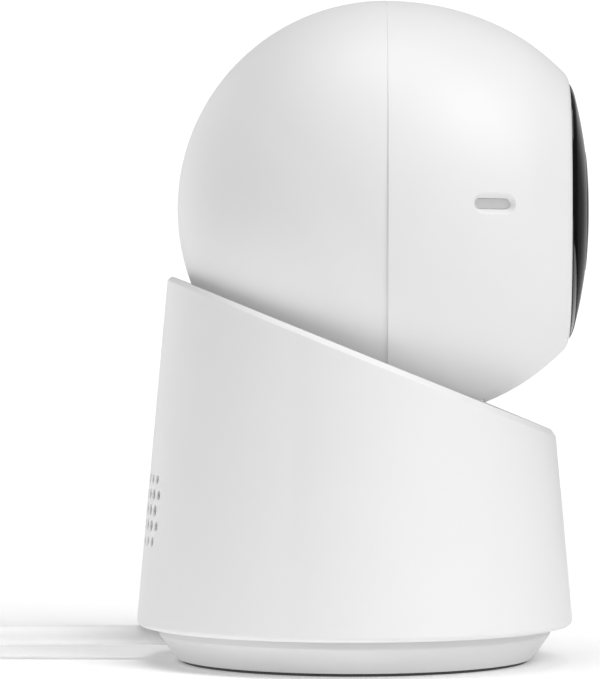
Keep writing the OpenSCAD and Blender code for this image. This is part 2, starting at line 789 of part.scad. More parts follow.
// The frame inside the head: it joins both shells, the axle, the motor and the boards
module head_frame() {
    motor = tilt_distance * [cos(tilt_motor_angle), sin(tilt_motor_angle)];
    color("dimgray") at_head() difference() {
        union() {
            translate([frame_x, 0, 0]) forwards() ring(32, 24, frame_t);
            block([frame_x, -13.6, -11], [frame_x + frame_t, 13.6, 26]);
            block([frame_x, -26, -6], [frame_x + frame_t, 26, 6]);
            for (y = [-13.6, 11]) block([-7, y, -7], [frame_x + 1, y + 2.6, 7]);
            translate([motor[0], 11, motor[1]]) sideways() cylinder(r = 11, h = 2.6);
            translate([motor[0], 11, motor[1]]) sideways() rotate(90 - tilt_motor_angle)
                stadium(32, 6, 2.6);
            at_board_screws(frame_x) cylinder(r = 1.8, h = sensor_x - frame_x, $fn = 32);
            for (p = [[-16, 3], [16, 3], [0, 17]]) translate([frame_x, p[0], p[1]]) forwards()
                cylinder(r = 1.8, h = ir_board_x - frame_x, $fn = 32);
            on_screws(rear_screws, 0) cylinder(r = 2.6, h = frame_x + 1, $fn = 32);
        }
        block([0, -19, -far], [far, 19, -11]);
        block([10, -far, -3.8], [15, -25.4, 3.8]);
        translate([motor[0], -far / 2, motor[1]]) sideways() cylinder(r = 2.2, h = far, $fn = 32);
        translate([0, -far / 2, 0]) sideways() cylinder(r = axle_r, h = far, $fn = 48);
        on_screws(concat(front_screws, rear_screws), -1) cylinder(r = 1 + gap, h = 20, $fn = 24);
        at_board_screws(frame_x + 0.5) cylinder(r = 0.9, h = 9, $fn = 24);
    }
}

module tilt_axle() {
    color("silver") at_head() translate([0, -19, 0]) sideways() cylinder(r = axle_r, h = 38, $fn = 48);
}

module head_screws() {
    color("silver") at_head() {
        on_screws(front_screws, frame_x - 1) screw(1.9, 1, 1, 9);
        on_screws(rear_screws, frame_x + frame_t + 1) mirror([0, 0, 1]) screw(1.9, 1, 1, 20);
        at_board_screws(holder_x + 0.9) mirror([0, 0, 1]) screw(1.7, 0.9, 0.85, 5);
    }
}

module at_button() {
    at_head() translate([button_x, button_y, button_z]) rotate([90, 0, button_turn]) children();
}

// The button's cap lies in the recess, and its flange rests behind the shell's wall
module side_button() {
    color("silver") at_button() {
        translate([0, 0, -3.4]) stadium(button_l, button_w, 2.2);
        translate([0, 0, -3.4]) stadium(button_l + 1.6, button_w + 2.2, 0.8);
    }
}

module button_switch() {
    color("darkslategray") at_button() {
        translate([0, 0, -5.2]) cylinder(r = 1.2, h = 1.75 - button_travel, $fn = 32);
        block([-1.8, -2.2, -7], [4.2, 2.2, -5.2]);
        block([-1, -3.5, -8], [7, 3.5, -7]);
    }
}

foot_shell();
bottom_cover();
anti_slip_ring();
ballast_ring();
tripod_insert();
bottom_screws();
pan_gear();
thrust_washer();
spindle_clip();
power_board();
cable_grommet();
power_cable();
cable_coil();
cable_tie();
cable_tail();
plug_cover();
plug_shell();
pan_pinion();
pan_motor_shaft();
body_shell();
pan_chassis();
chassis_screws();
dish_cover();
speaker();
grille_cloth();
main_board();
pan_motor();
yoke();
yoke_screws();
slot_shield();
tilt_gear();
tilt_bushes();
tilt_pinion();
tilt_motor_shaft();
rear_shell();
front_shell();
face_cover();
lens_window();
lens_hood();
lens_barrel();
lens_front();
lens_rear();
lens_holder();
ir_cut_actuator();
ir_cut_slider();
sensor_board();
ir_board();
ir_leds();
head_frame();
tilt_axle();
tilt_motor();
head_screws();
button_switch();
side_button();
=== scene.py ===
import math

import bmesh
import bpy
from mathutils import Matrix, Vector


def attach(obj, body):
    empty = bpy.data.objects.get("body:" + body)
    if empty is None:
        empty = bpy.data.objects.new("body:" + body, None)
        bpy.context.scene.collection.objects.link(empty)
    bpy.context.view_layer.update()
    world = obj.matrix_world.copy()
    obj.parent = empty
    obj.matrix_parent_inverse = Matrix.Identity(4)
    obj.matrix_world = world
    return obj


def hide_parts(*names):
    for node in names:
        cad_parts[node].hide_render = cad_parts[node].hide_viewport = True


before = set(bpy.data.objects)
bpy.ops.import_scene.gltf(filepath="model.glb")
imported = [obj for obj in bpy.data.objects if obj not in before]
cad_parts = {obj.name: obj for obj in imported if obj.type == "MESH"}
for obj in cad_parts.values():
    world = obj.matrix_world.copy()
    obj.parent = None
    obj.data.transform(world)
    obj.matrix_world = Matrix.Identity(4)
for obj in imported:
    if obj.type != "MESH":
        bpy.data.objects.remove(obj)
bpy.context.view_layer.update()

# The looks of a small pan and tilt security camera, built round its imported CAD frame.
# Lengths in the shape code are millimetres in the frame's own axes; MM turns them into metres.

MM = 0.001
scene = bpy.context.scene


# ---- camera: square to the side, near the rim's middle height ----

CAMERA_DISTANCE = 580
CAMERA_HEIGHT = 56.4
camera_data = bpy.data.cameras.new("camera")
camera_data.sensor_width = 36
camera_data.lens = 176.6
camera_data.shift_x = -0.0805
camera_data.shift_y = -0.0066
camera_data.clip_start = 0.01
camera_data.clip_end = 20
camera = bpy.data.objects.new("camera", camera_data)
camera.location = Vector((0, -CAMERA_DISTANCE, CAMERA_HEIGHT)) * MM
camera.rotation_euler = (math.radians(90), 0, 0)
scene.collection.objects.link(camera)
scene.camera = camera


# ---- shapes ----

def eased(share):
    """A share held between 0 and 1, with a soft start and end."""
    share = min(1, max(0, share))
    return share * share * (3 - 2 * share)


def rounded(corners, steps=4, closed=False):
    """An outline through corners (a, b, radius), each turned on an arc of its radius."""
    points = []
    count = len(corners)
    for i, (a, b, radius) in enumerate(corners):
        here = Vector((a, b))
        at_end = not closed and i in (0, count - 1)
        if radius <= 0 or at_end:
            points.append((a, b))
            continue
        before = (Vector(corners[i - 1][:2]) - here).normalized()
        after = (Vector(corners[(i + 1) % count][:2]) - here).normalized()
        half = before.angle(after) / 2
        centre = here + (before + after).normalized() * radius / math.sin(half)
        start = here + before * radius / math.tan(half) - centre
        end = here + after * radius / math.tan(half) - centre
        sweep = start.angle(end)
        for k in range(steps + 1):
            t = k / steps
            arm = (start * math.sin((1 - t) * sweep) + end * math.sin(t * sweep)) / math.sin(sweep)
            points.append(tuple(centre + arm))
    return points


def loft(rings, closed=False):
    """A bmesh skin over rings of points.

    A ring of one point is a pole. closed joins the last ring to the first.
    """
    bm = bmesh.new()
    made = [[bm.verts.new(p) for p in ring] for ring in rings]
    count = max(len(ring) for ring in rings)
    following = made[1:] + ([made[0]] if closed else [])
    for lower, upper in zip(made, following):
        for i in range(count):
            j = (i + 1) % count
            corners = [lower[i % len(lower)], lower[j % len(lower)],
                       upper[j % len(upper)], upper[i % len(upper)]]
            corners = list(dict.fromkeys(corners))
            if len(corners) > 2:
                bm.faces.new(corners)
    bmesh.ops.recalc_face_normals(bm, faces=bm.faces)
    return bm


def lathe(profile, segments=160, closed=False):
    """A turned shape about the local Z axis from (radius, height) points."""
    rings = []
    for radius, height in profile:
        if radius < 1e-6:
            rings.append([(0, 0, height)])
            continue
        turn = [2 * math.pi * i / segments for i in range(segments)]
        rings.append([(radius * math.cos(a), radius * math.sin(a), height) for a in turn])
    return loft(rings, closed)


def caps(bm):
    """Closes open ends with flat faces."""
    bmesh.ops.holes_fill(bm, edges=[e for e in bm.edges if e.is_boundary])
    bmesh.ops.recalc_face_normals(bm, faces=bm.faces)
    return bm


def mesh_from(bm, name, place=Matrix.Identity(4)):
    """A mesh object in metres. place takes the shape's own millimetres to the frame's."""
    bmesh.ops.transform(bm, matrix=Matrix.Scale(MM, 4) @ place, verts=bm.verts)
    if place.determinant() < 0:
        bmesh.ops.reverse_faces(bm, faces=bm.faces)
    mesh = bpy.data.meshes.new(name)
    bm.to_mesh(mesh)
    bm.free()
    obj = bpy.data.objects.new(name, mesh)
    scene.collection.objects.link(obj)
    return obj


def applied(obj):
    """Puts the object's modifiers into its mesh."""
    graph = bpy.context.evaluated_depsgraph_get()
    mesh = bpy.data.meshes.new_from_object(obj.evaluated_get(graph))
    obj.modifiers.clear()
    old = obj.data
    obj.data = mesh
    bpy.data.meshes.remove(old)
    mesh.name = obj.name


def cut(obj, cutters):
    """Cuts a list of closed shapes, each a bmesh in the frame's millimetres, out of an object."""
    tool_mesh = bpy.data.meshes.new("cutter")
    joined = bmesh.new()
    for bm in cutters:
        part = bpy.data.meshes.new("part")
        bmesh.ops.transform(bm, matrix=Matrix.Scale(MM, 4), verts=bm.verts)
        bm.to_mesh(part)
        bm.free()
        joined.from_mesh(part)
        bpy.data.meshes.remove(part)
    joined.to_mesh(tool_mesh)
    joined.free()
    tool = bpy.data.objects.new("cutter", tool_mesh)
    scene.collection.objects.link(tool)
    step = obj.modifiers.new("cut", "BOOLEAN")
    step.operation = "DIFFERENCE"
    step.solver = "EXACT"
    step.object = tool
    applied(obj)
    bpy.data.objects.remove(tool)
    bpy.data.meshes.remove(tool_mesh)


def finished(obj, body, look, replaced=(), sharp=35):
    """Smooth shading with crisp edges, a material, and the piece's place in the frame."""
    obj.data.shade_smooth()
    obj.data.set_sharp_from_angle(angle=math.radians(sharp))
    weights = obj.modifiers.new("even shading", "WEIGHTED_NORMAL")
    weights.keep_sharp = True
    applied(obj)
    obj.data.materials.clear()
    obj.data.materials.append(bpy.data.materials[look])
    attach(obj, body)
    if replaced:
        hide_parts(*replaced)
    return obj


def forwards(centre):
    """Takes a shape built up the Z axis to one that points along +X from a centre."""
    return Matrix.Translation(centre) @ Matrix.Rotation(math.radians(90), 4, "Y")


# ---- materials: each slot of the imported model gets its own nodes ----

NOISE_ROUGHNESS = 0.55
NOISE_LOW = 0.3      # the noise hardly goes below this
NOISE_HIGH = 0.7     # nor above this


def node_tree(slot):
    """A slot's emptied node tree, with a shader, and the object's own coordinates."""
    material = bpy.data.materials[slot]
    material.use_nodes = True
    tree = material.node_tree
    tree.nodes.clear()
    output = tree.nodes.new("ShaderNodeOutputMaterial")
    shader = tree.nodes.new("ShaderNodeBsdfPrincipled")
    tree.links.new(shader.outputs["BSDF"], output.inputs["Surface"])
    place = tree.nodes.new("ShaderNodeTexCoord")
    return tree, shader, place.outputs["Object"]


def noise(tree, place, scale, detail=3, stretch=None):
    """Noise with its scale in features per metre, stretched along an axis if asked."""
    if stretch:
        mapping = tree.nodes.new("ShaderNodeMapping")
        mapping.inputs["Scale"].default_value = stretch
        tree.links.new(place, mapping.inputs["Vector"])
        place = mapping.outputs["Vector"]
    texture = tree.nodes.new("ShaderNodeTexNoise")
    texture.inputs["Scale"].default_value = scale
    texture.inputs["Detail"].default_value = detail
    texture.inputs["Roughness"].default_value = NOISE_ROUGHNESS
    tree.links.new(place, texture.inputs["Vector"])
    return texture.outputs["Fac"]


def spread(tree, factor, low, high):
    """A number that runs from low to high with a noise."""
    ramp = tree.nodes.new("ShaderNodeMapRange")
    ramp.inputs["From Min"].default_value = NOISE_LOW
    ramp.inputs["From Max"].default_value = NOISE_HIGH
    ramp.inputs["To Min"].default_value = low
    ramp.inputs["To Max"].default_value = high
    tree.links.new(factor, ramp.inputs["Value"])
    return ramp.outputs["Result"]


def tint(tree, factor, dark, light):
    """A colour that runs from dark to light with a noise."""
    mix = tree.nodes.new("ShaderNodeMix")
    mix.data_type = "RGBA"
    mix.inputs["A"].default_value = (*dark, 1)
    mix.inputs["B"].default_value = (*light, 1)
    tree.links.new(spread(tree, factor, 0, 1), mix.inputs["Factor"])
    return mix.outputs["Result"]


def bump(tree, shader, height, depth_mm):
    """Relief of a depth in millimetres."""
    node = tree.nodes.new("ShaderNodeBump")
    node.inputs["Strength"].default_value = 1.0
    node.inputs["Distance"].default_value = depth_mm * MM
    tree.links.new(height, node.inputs["Height"])
    tree.links.new(node.outputs["Normal"], shader.inputs["Normal"])


def varied(slot, colour, change, rough, rough_change, cloud_scale, metallic=0.0, **sockets):
    """The common start of every look: a colour and a roughness that vary softly over the surface."""
    tree, shader, place = node_tree(slot)
    cloud = noise(tree, place, cloud_scale)
    dark = [c * (1 - change) for c in colour]
    light = [min(1, c * (1 + change)) for c in colour]
    tree.links.new(tint(tree, cloud, dark, light), shader.inputs["Base Color"])
    roughness = spread(tree, cloud, rough - rough_change, rough + rough_change)
    tree.links.new(roughness, shader.inputs["Roughness"])
    shader.inputs["Metallic"].default_value = metallic
    for name, value in sockets.items():
        shader.inputs[name.replace("_", " ")].default_value = value
    return tree, shader, place


def moulded(slot, colour, rough, grain_mm, depth_mm, change=0.012, **sockets):
    """Moulded plastic: an even colour and a fine spark-eroded grain."""
    tree, shader, place = varied(slot, colour, change, rough, 0.03, 60, **sockets)
    bump(tree, shader, noise(tree, place, 1 / (grain_mm * MM), 2), depth_mm)


def metal(slot, colour, rough, stretch):
    """Metal with fine lines left by its tools."""
    tree, shader, place = varied(slot, colour, 0.08, rough, 0.08, 220, metallic=1.0)
    bump(tree, shader, noise(tree, place, 1800, 2, stretch=stretch), 0.004)


def glass(slot, colour, rough, ior):
    """Clear or tinted glass with a trace of unevenness."""
    tree, shader, place = varied(slot, colour, 0.02, rough, rough * 0.5, 90)
    shader.inputs["Transmission Weight"].default_value = 1.0
    shader.inputs["IOR"].default_value = ior
    bump(tree, shader, noise(tree, place, 120, 1), 0.0005)


moulded("white_plastic", (0.80, 0.80, 0.80), 0.46, 0.45, 0.0035, change=0.004)
moulded("foot_plastic", (0.75, 0.75, 0.75), 0.5, 0.45, 0.004, change=0.006)
moulded("black_plastic", (0.018, 0.018, 0.018), 0.55, 0.3, 0.01)
moulded("grey_plastic", (0.16, 0.16, 0.165), 0.5, 0.35, 0.01, change=0.04)
moulded("gear_plastic", (0.80, 0.78, 0.70), 0.38, 0.6, 0.004, change=0.02)
moulded("rubber_grey", (0.09, 0.09, 0.095), 0.8, 0.25, 0.02, change=0.08)
moulded("speaker_black", (0.035, 0.035, 0.035), 0.6, 0.3, 0.01, change=0.1)
moulded("button_grey", (0.55, 0.55, 0.55), 0.42, 0.4, 0.003)
moulded("led_clear", (0.75, 0.78, 0.85), 0.12, 0.8, 0.001, Coat_Weight=0.6)
metal("steel", (0.60, 0.61, 0.62), 0.28, (1, 1, 8))
metal("motor_steel", (0.62, 0.62, 0.60), 0.36, (1, 9, 1))
metal("brass", (0.80, 0.60, 0.28), 0.26, (1, 1, 10))

# The cable's jacket: soft and matt, with a fine grain
tree, shader, place = varied("cable_jacket", (0.90, 0.90, 0.90), 0.02, 0.55, 0.05, 70)
bump(tree, shader, noise(tree, place, 1500, 2), 0.006)

# The black dome: polished, with a trace of unevenness
tree, shader, place = varied("black_gloss", (0.005, 0.005, 0.0055), 0.1, 0.09, 0.03, 80)
shader.inputs["IOR"].default_value = 1.45
bump(tree, shader, noise(tree, place, 60, 1), 0.0008)

glass("window_glass", (0.22, 0.22, 0.24), 0.03, 1.12)
glass("lens_glass", (0.62, 0.66, 0.80), 0.01, 1.5)
glass("filter_glass", (0.40, 0.70, 0.74), 0.02, 1.5)

# Boards: solder mask over copper tracks, which stand a hair proud
tree, shader, place = varied("board_green", (0.02, 0.16, 0.07), 0.1, 0.32, 0.05, 120)
tracks = tree.nodes.new("ShaderNodeTexBrick")
tracks.inputs["Scale"].default_value = 420
tracks.inputs["Mortar Size"].default_value = 0.06
tracks.inputs["Color1"].default_value = (0.015, 0.14, 0.06, 1)
tracks.inputs["Color2"].default_value = (0.02, 0.17, 0.08, 1)
tracks.inputs["Mortar"].default_value = (0.06, 0.30, 0.14, 1)
tree.links.new(place, tracks.inputs["Vector"])
tree.links.new(tracks.outputs["Color"], shader.inputs["Base Color"])
bump(tree, shader, tracks.outputs["Fac"], 0.03)

# The filter's little coil: turns of enamelled copper side by side
tree, shader, place = varied("copper_coil", (0.62, 0.28, 0.10), 0.06, 0.3, 0.05, 200, metallic=0.8)
turns = tree.nodes.new("ShaderNodeTexWave")
turns.bands_direction = "Y"
turns.inputs["Scale"].default_value = 1600
tree.links.new(place, turns.inputs["Vector"])
bump(tree, shader, turns.outputs["Fac"], 0.06)

# Acoustic cloth behind the grille: a plain weave of fine threads
tree, shader, place = varied("cloth_black", (0.10, 0.10, 0.10), 0.25, 0.85, 0.05, 500)
shader.inputs["Sheen Weight"].default_value = 0.3
weave = []
for direction in ("Y", "Z"):
    threads = tree.nodes.new("ShaderNodeTexWave")
    threads.bands_direction = direction
    threads.inputs["Scale"].default_value = 1000
    tree.links.new(place, threads.inputs["Vector"])
    weave.append(threads.outputs["Fac"])
over = tree.nodes.new("ShaderNodeMath")
over.operation = "MULTIPLY"
tree.links.new(weave[0], over.inputs[0])
tree.links.new(weave[1], over.inputs[1])
bump(tree, shader, over.outputs["Value"], 0.08)

# The strip behind the head's slot and the yoke's stem are white, so that the slot hardly shows
for name in ("slot_shield", "yoke"):
    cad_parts[name].material_slots[0].material = bpy.data.materials["white_plastic"]


# ---- the cable: out of the foot, along the table, into a tied coil with its plug on top ----

CABLE_D = 3.4
COIL_CENTRE = Vector((-104, 25.2, 0))
COIL_RADII = [25.2, 21.8, 18.4, 15]
COIL_LAYERS = 4
COIL_TURNS = 15.25
COIL_STEPS = 40
CROSSING = 0.16     # share of a turn in which the cable moves to its next place
LEAD = [(-35.2, 0, 4.2), (-42, 0, 4.2), (-50, 0, 4.2), (-58, 0, 4.2), (-66, 0, 4.1), (-74, 0, 3.3),
        (-82, 0, 2.2), (-92, 0, 1.7)]
TAIL = [(-128.4, 32, 12.6), (-125, 38, 14.4), (-119, 41.6, 16.2), (-112, 42.4, 17.1), (-108, 42.4, 17.1)]
PLUG_AT = Vector((-112, 42.4, 17.1))


def coil_place(turn):
    """Radius and height of the cable at a whole turn of the coil, wound in and out, layer on layer."""
    layer = turn // len(COIL_RADII)
    row = turn % len(COIL_RADII)
    row = row if layer % 2 == 0 else len(COIL_RADII) - 1 - row
    return COIL_RADII[row], CABLE_D * (0.5 + layer)


def coil_point(t):
    """The cable's centre after t turns."""
    turn = int(t)
    ease = eased((t - turn - 1 + CROSSING) / CROSSING)
    r0, z0 = coil_place(turn)
    r1, z1 = coil_place(min(turn + 1, int(COIL_TURNS)))
    radius = r0 + (r1 - r0) * ease
    height = z0 + (z1 - z0) * ease
    angle = math.radians(-90 - 360 * t)
    return COIL_CENTRE + Vector((radius * math.cos(angle), radius * math.sin(angle), height))


cable_points = [Vector(p) for p in LEAD]
cable_points += [coil_point(k / COIL_STEPS) for k in range(int(COIL_TURNS * COIL_STEPS) + 1)]
cable_points += [Vector(p) for p in TAIL]
cable_curve = bpy.data.curves.new("power_lead", "CURVE")
cable_curve.dimensions = "3D"
cable_curve.bevel_depth = CABLE_D / 2 * MM
cable_curve.bevel_resolution = 5
cable_curve.resolution_u = 6
cable_curve.use_fill_caps = True
spline = cable_curve.splines.new("NURBS")
spline.points.add(len(cable_points) - 1)
for point, centre in zip(spline.points, cable_points):
    point.co = (*(centre * MM), 1)
spline.order_u = 4
spline.use_endpoint_u = True
power_lead = bpy.data.objects.new("power_lead", cable_curve)
scene.collection.objects.link(power_lead)
cable_curve.materials.append(bpy.data.materials["cable_jacket"])
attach(power_lead, "foot")
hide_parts("power_cable", "cable_coil", "cable_tail")

# The strap that ties the coil
STRAP_T = 0.5
STRAP_W = 8
STRAP_OUTER_R = 2.2
STRAP_INNER_R = 1.7
STRAP_EDGE = 0.15   # how far the outside's edges stand in from the inside's
tie_middle = (COIL_RADII[0] + COIL_RADII[-1]) / 2
tie_half = (COIL_RADII[0] - COIL_RADII[-1] + CABLE_D) / 2
tie_top = CABLE_D * COIL_LAYERS
tie_low = tie_middle - tie_half
tie_high = tie_middle + tie_half


def strap_outline(low, high, bottom, top, radius):
    """The strap's section as a rounded rectangle: across the coil, and up."""
    return rounded([(low, bottom, radius), (high, bottom, radius), (high, top, radius), (low, top, radius)],
                   6, closed=True)


tie_outside = strap_outline(tie_low - STRAP_T, tie_high + STRAP_T, 0, tie_top + STRAP_T, STRAP_OUTER_R)
tie_inside = strap_outline(tie_low, tie_high, STRAP_T, tie_top, STRAP_INNER_R)
tie_rings = []
for outline, across in ((tie_outside, STRAP_EDGE - STRAP_W / 2), (tie_outside, STRAP_W / 2 - STRAP_EDGE),
                        (tie_inside, STRAP_W / 2), (tie_inside, -STRAP_W / 2)):
    tie_rings.append([(a, across, b) for a, b in outline])
tie = mesh_from(loft(tie_rings, closed=True), "coil_tie",
                Matrix.Translation(COIL_CENTRE) @ Matrix.Rotation(math.radians(-135), 4, "Z"))
finished(tie, "foot", "rubber_grey", ["cable_tie"])


def rounded_box(low, high, radius, steps=3):
    """A box with all its edges rounded."""
    bm = bmesh.new()
    size = Vector(high) - Vector(low)
    bmesh.ops.create_cube(bm, size=1)
    bmesh.ops.transform(bm, matrix=Matrix.Translation((Vector(low) + Vector(high)) / 2)
                        @ Matrix.Diagonal((*size, 1)), verts=bm.verts)
    bmesh.ops.bevel(bm, geom=bm.edges[:], offset=radius, segments=steps, profile=0.5, affect="EDGES",
                    clamp_overlap=True)
    return bm


# The plug: a tapered relief with ribs, a grip, and the metal shell with its tongue
RELIEF_LENGTH = 8
RIBS = 5
RIB_PITCH = 1.45
RIB_DEPTH = 0.35
relief = [(0, 0), (1.9, 0)]
for k in range(RIBS):
    at = 0.6 + RIB_PITCH * k
    swell = 1.95 + 0.95 * at / RELIEF_LENGTH
    relief += [(swell, at), (swell, at + 0.8), (swell - RIB_DEPTH, at + 0.95), (swell - RIB_DEPTH, at + 1.3)]
relief += [(2.9, RELIEF_LENGTH), (0, RELIEF_LENGTH)]
plug_relief = mesh_from(lathe(relief, 64), "plug_relief", forwards(PLUG_AT))
finished(plug_relief, "foot", "cable_jacket")
GRIP_END = 27
plug_grip = mesh_from(rounded_box((RELIEF_LENGTH, -6.2, -3.5), (GRIP_END, 6.2, 3.5), 1.4, 5), "plug_grip",
                      Matrix.Translation(PLUG_AT))
finished(plug_grip, "foot", "cable_jacket", ["plug_cover"])


def shell_section(half_width, half_height, radius):
    """The metal shell's section as a rounded rectangle."""
    return rounded([(-half_width, -half_height, radius), (half_width, -half_height, radius),
                    (half_width, half_height, radius), (-half_width, half_height, radius)], 4, closed=True)


SHELL_END = 39
shell_outside = shell_section(6, 2.25, 0.5)
shell_inside = shell_section(5.65, 1.9, 0.35)
shell_rings = [[(GRIP_END, a, b) for a, b in shell_outside],
               [(SHELL_END - 0.1, a, b) for a, b in shell_outside],
               [(SHELL_END, a * 0.985, b * 0.97) for a, b in shell_outside],
               [(SHELL_END, a, b) for a, b in shell_inside],
               [(28.5, a, b) for a, b in shell_inside]]
plug_shell_piece = mesh_from(caps(loft(shell_rings)), "plug_contact_shell", Matrix.Translation(PLUG_AT))
cut(plug_shell_piece, [rounded_box(PLUG_AT + Vector((31.5, side - 1.1, face - 1)),
                                   PLUG_AT + Vector((33.7, side + 1.1, face + 1)), 0.1)
                       for side in (-2.6, 2.6) for face in (-2.4, 2.4)])
finished(plug_shell_piece, "foot", "steel", ["plug_shell"])
plug_tongue = mesh_from(rounded_box((28.4, -5.5, 0.05), (38.2, 5.5, 1.75), 0.15), "plug_tongue",
                        Matrix.Translation(PLUG_AT))
finished(plug_tongue, "foot", "black_plastic")


# ---- the body ----

BASE_R = 37.9
LEAN = math.tan(math.radians(5.13))
SKIRT_Z = 6.2
RIM_Z = 53.8
RIM_SLOPE = math.tan(math.radians(22))
WALL = 2.2
BODY_SEGMENTS = 240


def body_r(z):
    """The body's outer radius at a height."""
    return BASE_R - (z - SKIRT_Z) * LEAN


def wall_top(inset, angle):
    """Where the wall, moved inwards by inset, meets the rim's plane, as (radius, height)."""
    run = math.cos(angle) * RIM_SLOPE
    z = (RIM_Z - run * (BASE_R - inset + SKIRT_Z * LEAN)) / (1 - run * LEAN)
    return body_r(z) - inset, z


CHAMFER = 0.95
CHAMFER_IN = CHAMFER * 0.75
body_rings = []
for i in range(BODY_SEGMENTS):
    angle = 2 * math.pi * i / BODY_SEGMENTS
    outer = wall_top(0, angle)
    inner = wall_top(WALL, angle)
    slope = -math.cos(angle) * RIM_SLOPE
    chamfer_low = (outer[0] + CHAMFER * LEAN, outer[1] - CHAMFER)
    chamfer_in = (outer[0] - CHAMFER_IN, outer[1] - CHAMFER_IN * slope)
    outline = rounded([
        (body_r(SKIRT_Z) - WALL, SKIRT_Z, 0.4),
        (body_r(SKIRT_Z), SKIRT_Z, 0.9),
        (*chamfer_low, 0.5),
        (*chamfer_in, 0.5),
        (*inner, 0.5),
    ], 4, closed=True)
    body_rings.append([(r * math.cos(angle), r * math.sin(angle), z) for r, z in outline])
body = mesh_from(loft(body_rings, closed=True), "body_cover")

# The sound holes: five rows, every other one set off by half a step, each hole with a small chamfer
GRILLE_Z = 26.5
GRILLE_PITCH = 2.65     # between rows
GRILLE_STEP = 4.73      # between holes in a row, in degrees
GRILLE_R = 0.92
GRILLE_EDGE_R = 0.76    # the holes round the grille's edge are smaller
HOLE_CHAMFER = 0.24
holes = []
for row in range(-2, 3):
    half = 4 if row % 2 == 0 else 4.5
    for k in range(int(2 * half) + 1):
        at = k - half
        turn = Matrix.Rotation(math.radians(180 + at * GRILLE_STEP), 4, "Z")
        height = GRILLE_Z + row * GRILLE_PITCH
        out = body_r(height)
        hole = GRILLE_EDGE_R if abs(row) == 2 or abs(at) > 4 else GRILLE_R
        low, high = out - HOLE_CHAMFER / 2, out + HOLE_CHAMFER / 2
        profile = [(0, out - 5), (hole, out - 5), (hole, low), (hole + HOLE_CHAMFER, high), (0, high)]
        drill = lathe(profile, 24)
        bmesh.ops.transform(drill, matrix=turn @ forwards((0, 0, height)), verts=drill.verts)
        holes.append(drill)
cut(body, holes)
finished(body, "turntable", "white_plastic", ["body_shell"], sharp=28)


# ---- the foot ----

FOOT_LOW_R = 31.0
FOOT_TOP_R = 34.0
PAD_H = 0.5
SHOULDER_Z = 4.7
DECK_Z = 6.6
FOOT_TOP_Z = 8
FOOT_BORE_R = 28.4
SPINDLE_R = 8
SPINDLE_BORE_R = 5.5
SPINDLE_TOP = 16.2
CLIP_GROOVE = 0.8
CLIP_LOW = 14.5
CLIP_HIGH = 15.3
CABLE_Z = 4.2
CABLE_HOLE_R = 2.35
foot_outline = rounded([
    (FOOT_BORE_R, PAD_H, 0.2), (FOOT_LOW_R, PAD_H, 0.5), (FOOT_TOP_R, SHOULDER_Z, 0.8),
    (FOOT_TOP_R, FOOT_TOP_Z, 0.4), (SPINDLE_R, FOOT_TOP_Z, 0.3),
    (SPINDLE_R, CLIP_LOW, 0), (SPINDLE_R - CLIP_GROOVE, CLIP_LOW, 0),
    (SPINDLE_R - CLIP_GROOVE, CLIP_HIGH, 0), (SPINDLE_R, CLIP_HIGH, 0),
    (SPINDLE_R, SPINDLE_TOP, 0.4), (SPINDLE_BORE_R, SPINDLE_TOP, 0.3),
    (SPINDLE_BORE_R, DECK_Z, 0.3), (FOOT_BORE_R, DECK_Z, 0.5),
], 4, closed=True)
foot = mesh_from(lathe(foot_outline, 192, closed=True), "foot_cover")
cable_hole = lathe([(0, 0), (CABLE_HOLE_R, 0), (CABLE_HOLE_R, 10), (0, 10)], 48)
bmesh.ops.transform(cable_hole, matrix=Matrix.Translation((-37, 0, CABLE_Z)) @ forwards((0, 0, 0)),
                    verts=cable_hole.verts)
cut(foot, [cable_hole])
finished(foot, "foot", "foot_plastic", ["foot_shell"], sharp=30)

# The cable's collar, slim where it shows and thicker inside the foot
COLLAR_END = -35.2
collar_outline = rounded([(0, 0, 0), (1.72, 0, 0.12), (1.8, 3.8, 0.1), (2.3, 4.1, 0.1), (2.3, 7.4, 0.1),
                          (0, 7.4, 0)], 3)
collar = mesh_from(lathe(collar_outline, 64), "cable_collar", forwards((COLLAR_END, 0, CABLE_Z)))
finished(collar, "foot", "cable_jacket", ["cable_grommet"])


# ---- the head ----

HEAD = Vector((5.5, 0, 78.4))
REAR_BACK = 0.1
REAR = HEAD + Vector((-REAR_BACK, 0, -0.15))    # the middle of the rear shell's ball
FRONT = HEAD + Vector((0, 0, -0.5))             # the middle of the front shell's ellipsoid
HEAD_R = 36.2
FRONT_R = 36.5
FRONT_LEN = 41.4
HEAD_WALL = 2
LIP_START = 31
LIP_R = 2.6
SEAM_ROUND = 0.04
SEAM_GAP = 0.01
SLOT_Y = 7
SLOT_START = -158.2     # degrees from +X, round the tilt axis
SLOT_SPAN = 95.1
HEAD_SEGMENTS = 192

front_slope = math.sqrt(1 - (LIP_START / FRONT_LEN) ** 2)
lip_angle = math.atan(FRONT_R / FRONT_LEN * (LIP_START / FRONT_LEN) / front_slope)
lip_x = LIP_START - LIP_R * math.sin(lip_angle)
face_r = FRONT_R * front_slope - LIP_R * math.cos(lip_angle)
face_x = lip_x + LIP_R
cover_r = face_r - 0.15
ledge_x = face_x - 2.4
ledge_r = face_r - 1.8
LEDGE_T = 1.5

FACE_SET_BACK = 0.26   # how far the lip lies behind the CAD model's
FACE_BOW = 0.52        # how far the lip curves back at its two sides
BOW_START = 22         # from here forwards the bow grows
BOW_FULL = 30          # and from here it is whole


def face_bow(bm):
    """Curves the front of a shape, built up the Z axis about the head's centre, back at its sides."""
    for vertex in bm.verts:
        x, y, z = vertex.co
        fade = eased((z - BOW_START) / (BOW_FULL - BOW_START))
        radius = max(math.hypot(x, y), face_r)
        vertex.co.z -= fade * (FACE_SET_BACK * min(1, math.hypot(x, y) / face_r) ** 2
                               + FACE_BOW * (y / radius) ** 2)
    return bm


